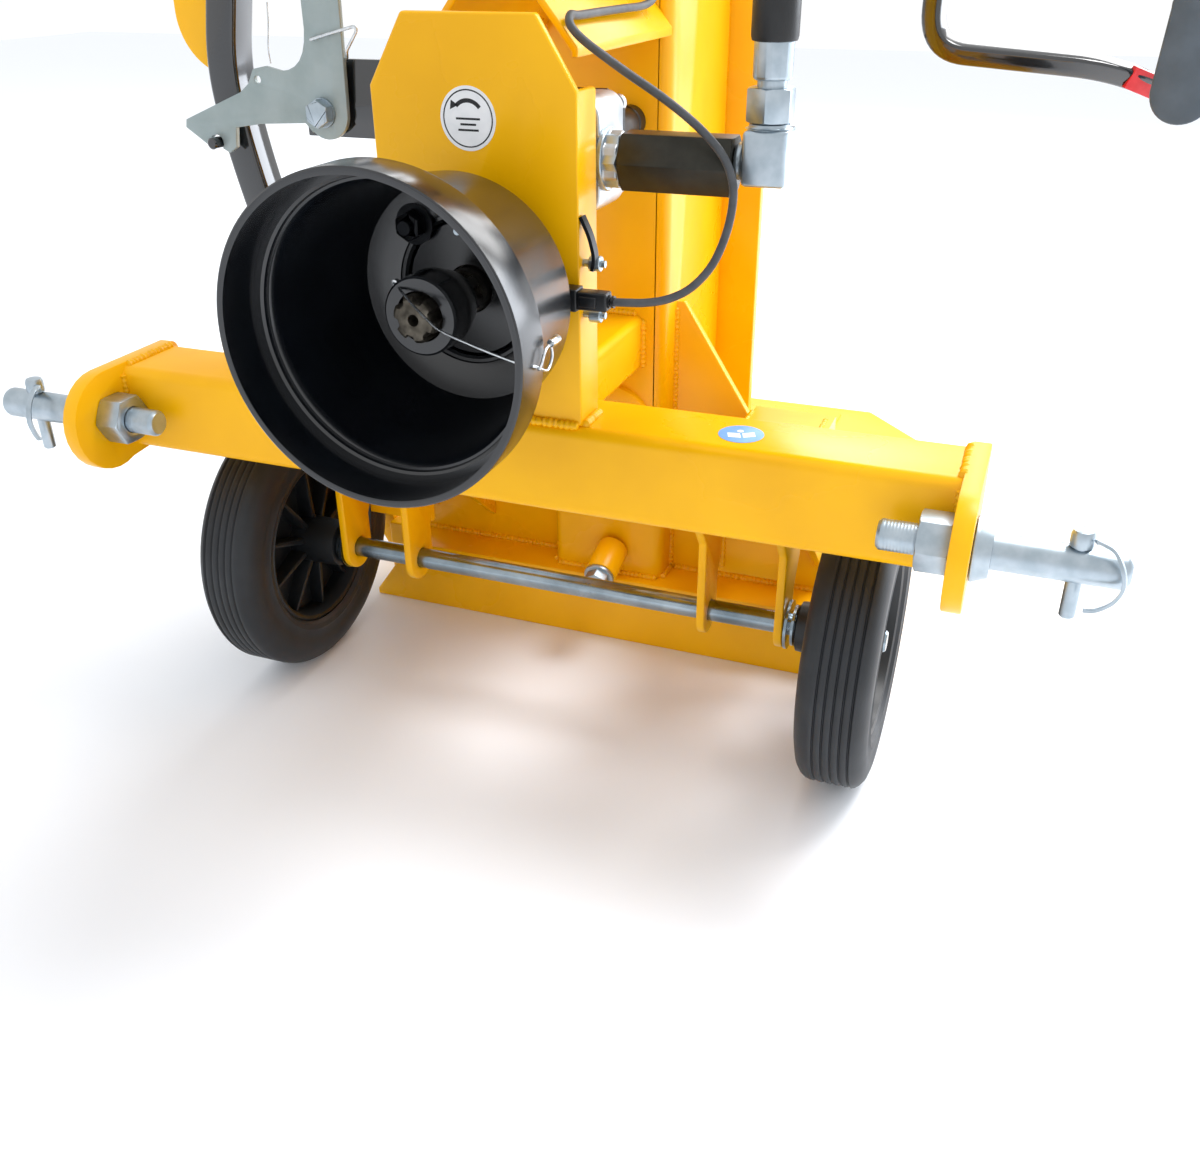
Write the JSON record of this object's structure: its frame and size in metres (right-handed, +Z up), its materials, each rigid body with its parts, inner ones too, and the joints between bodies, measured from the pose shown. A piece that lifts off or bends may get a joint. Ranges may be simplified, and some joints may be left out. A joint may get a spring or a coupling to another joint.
{
  "type": "tractor mounted vertical log splitter",
  "caption": "Vertical hydraulic log splitter for a tractor hitch: base on wheels, column with sliding wedge, shaft-driven pump in a guard, two-hand control arms and a log lifter.",
  "frame": {"origin": "on the ground under the middle of the bounding box", "axes": "+Z up along the column, -Y towards the tractor, +X along the cross beam"},
  "size_m": [1.106, 1.074, 1.93],
  "materials": {
    "yellow_paint": "glossy powder coat, slightly worn",
    "black_paint": "glossy black enamel",
    "zinc": "bright zinc plating",
    "bare_steel": "turned and oiled steel",
    "chrome_rod": "hard chrome",
    "tyre_rubber": "matt rubber",
    "hose_rubber": "satin hose cover",
    "black_plastic": "fine moulded grain",
    "guard_plastic": "fine moulded grain",
    "cable_sheath": "soft sheath",
    "cast_aluminium": "die cast and machined"
  },
  "bodies": {
    "frame": {"base_platform": "yellow_paint", "column": "yellow_paint", "guide_plate": "yellow_paint", "hitch_beam": "yellow_paint", "left_link_pin": "zinc", "right_link_pin": "zinc", "left_pin_nut": "zinc", "right_pin_nut": "zinc", "axle": "zinc", "pump_plate": "yellow_paint", "pump_hood": "yellow_paint", "pto_guard": "black_plastic", "shaft_bearing": "bare_steel", "gearbox_housing": "cast_aluminium", "gear_pump": "cast_aluminium", "pressure_adapter": "black_paint", "elbow_fitting": "zinc", "pressure_hose": "hose_rubber", "valve_body": "black_paint", "cylinder_hose_upper": "hose_rubber", "cylinder_hose_lower": "hose_rubber", "suction_pipe": "hose_rubber", "drain_plug": "zinc", "cylinder_barrel": "yellow_paint", "cylinder_gland": "zinc", "barrel_clamp": "yellow_paint", "left_arm_bracket": "yellow_paint", "right_arm_bracket": "yellow_paint", "lifter_hinge": "yellow_paint", "latch_bracket": "black_paint", "latch_bolt": "zinc", "sensor_cable": "cable_sheath", "cable_socket": "black_plastic"},
    "left_wheel": {"left_tyre": "tyre_rubber", "left_wheel_rim": "black_plastic"},
    "right_wheel": {"right_tyre": "tyre_rubber", "right_wheel_rim": "black_plastic"},
    "pto_input": {"pto_shaft": "bare_steel", "drive_gear": "bare_steel"},
    "pump_drive": {"pinion_gear": "bare_steel"},
    "carriage": {"splitting_carriage": "yellow_paint", "splitting_wedge": "bare_steel", "piston_rod": "chrome_rod"},
    "right_arm": {"right_control_arm": "black_paint", "right_hand_grip": "black_plastic", "right_hand_guard": "guard_plastic"},
    "left_arm": {"left_control_arm": "black_paint", "left_hand_grip": "black_plastic", "left_hand_guard": "guard_plastic"},
    "spool": {"valve_spool": "chrome_rod", "valve_rocker": "zinc"},
    "left_peg": {"left_linch_peg": "zinc"},
    "right_peg": {"right_linch_peg": "zinc"},
    "left_ring": {"left_linch_ring": "zinc"},
    "right_ring": {"right_linch_ring": "zinc"},
    "lifter": {"lifter_frame": "black_paint", "lifter_shoe": "yellow_paint"},
    "latch": {"latch_plate": "zinc"},
    "filler": {"filler_cap": "black_plastic"},
    "top_pin": {"top_link_pin": "zinc"}
  },
  "joints": [
    {"name": "left_wheel_spin", "type": "hinge", "parent": "frame", "child": "left_wheel", "pos_m": [-0.306, -0.2255, 0.141], "axis": [1, 0, 0], "continuous": true},
    {"name": "right_wheel_spin", "type": "hinge", "parent": "frame", "child": "right_wheel", "pos_m": [0.306, -0.2255, 0.141], "axis": [1, 0, 0], "continuous": true},
    {"name": "pto_spin", "type": "hinge", "parent": "frame", "child": "pto_input", "pos_m": [0, -0.4, 0.48], "axis": [0, 1, 0], "continuous": true},
    {"name": "pinion_spin", "type": "hinge", "parent": "frame", "child": "pump_drive", "pos_m": [0, -0.31, 0.557], "axis": [0, 1, 0], "continuous": true},
    {"name": "carriage_slide", "type": "slide", "parent": "frame", "child": "carriage", "axis": [0, 0, -1], "range_m": [0, 0.68]},
    {"name": "right_arm_hinge", "type": "hinge", "parent": "frame", "child": "right_arm", "pos_m": [0.15, 0.02, 0.98], "axis": [1, 0, 0], "range_deg": [-6, 24]},
    {"name": "left_arm_hinge", "type": "hinge", "parent": "frame", "child": "left_arm", "pos_m": [-0.15, 0.02, 0.98], "axis": [1, 0, 0], "range_deg": [-30, 0]},
    {"name": "spool_slide", "type": "slide", "parent": "frame", "child": "spool", "axis": [0, 0, 1], "range_m": [-0.0032, 0.0126]},
    {"name": "left_peg_slide", "type": "slide", "parent": "frame", "child": "left_peg", "axis": [0, 0, 1], "range_m": [0, 0.09]},
    {"name": "right_peg_slide", "type": "slide", "parent": "frame", "child": "right_peg", "axis": [0, 0, 1], "range_m": [0, 0.09]},
    {"name": "left_ring_flip", "type": "hinge", "parent": "left_peg", "child": "left_ring", "pos_m": [-0.4624, -0.3868, 0.348], "axis": [1, 0, 0], "range_deg": [-150, 0]},
    {"name": "right_ring_flip", "type": "hinge", "parent": "right_peg", "child": "right_ring", "pos_m": [0.4796, -0.3868, 0.348], "axis": [1, 0, 0], "range_deg": [-150, 0]},
    {"name": "lifter_hinge_turn", "type": "hinge", "parent": "frame", "child": "lifter", "pos_m": [-0.322, 0.17, 0.104], "axis": [0, 1, 0], "range_deg": [-84, 0]},
    {"name": "latch_turn", "type": "hinge", "parent": "frame", "child": "latch", "pos_m": [-0.301, -0.093, 0.563], "axis": [0, 1, 0], "range_deg": [0, 30]},
    {"name": "filler_cap_lift", "type": "slide", "parent": "frame", "child": "filler", "axis": [0, 0, 1], "range_m": [0, 0.21]},
    {"name": "top_pin_pull", "type": "slide", "parent": "frame", "child": "top_pin", "axis": [-1, 0, 0], "range_m": [0, 0.115]}
  ],
  "couplings": [
    {"joint": "pinion_spin", "follows": "pto_spin", "ratio": -2},
    {"joint": "spool_slide", "follows": "right_arm_hinge", "m_per_rad": 0.03}
  ]
}
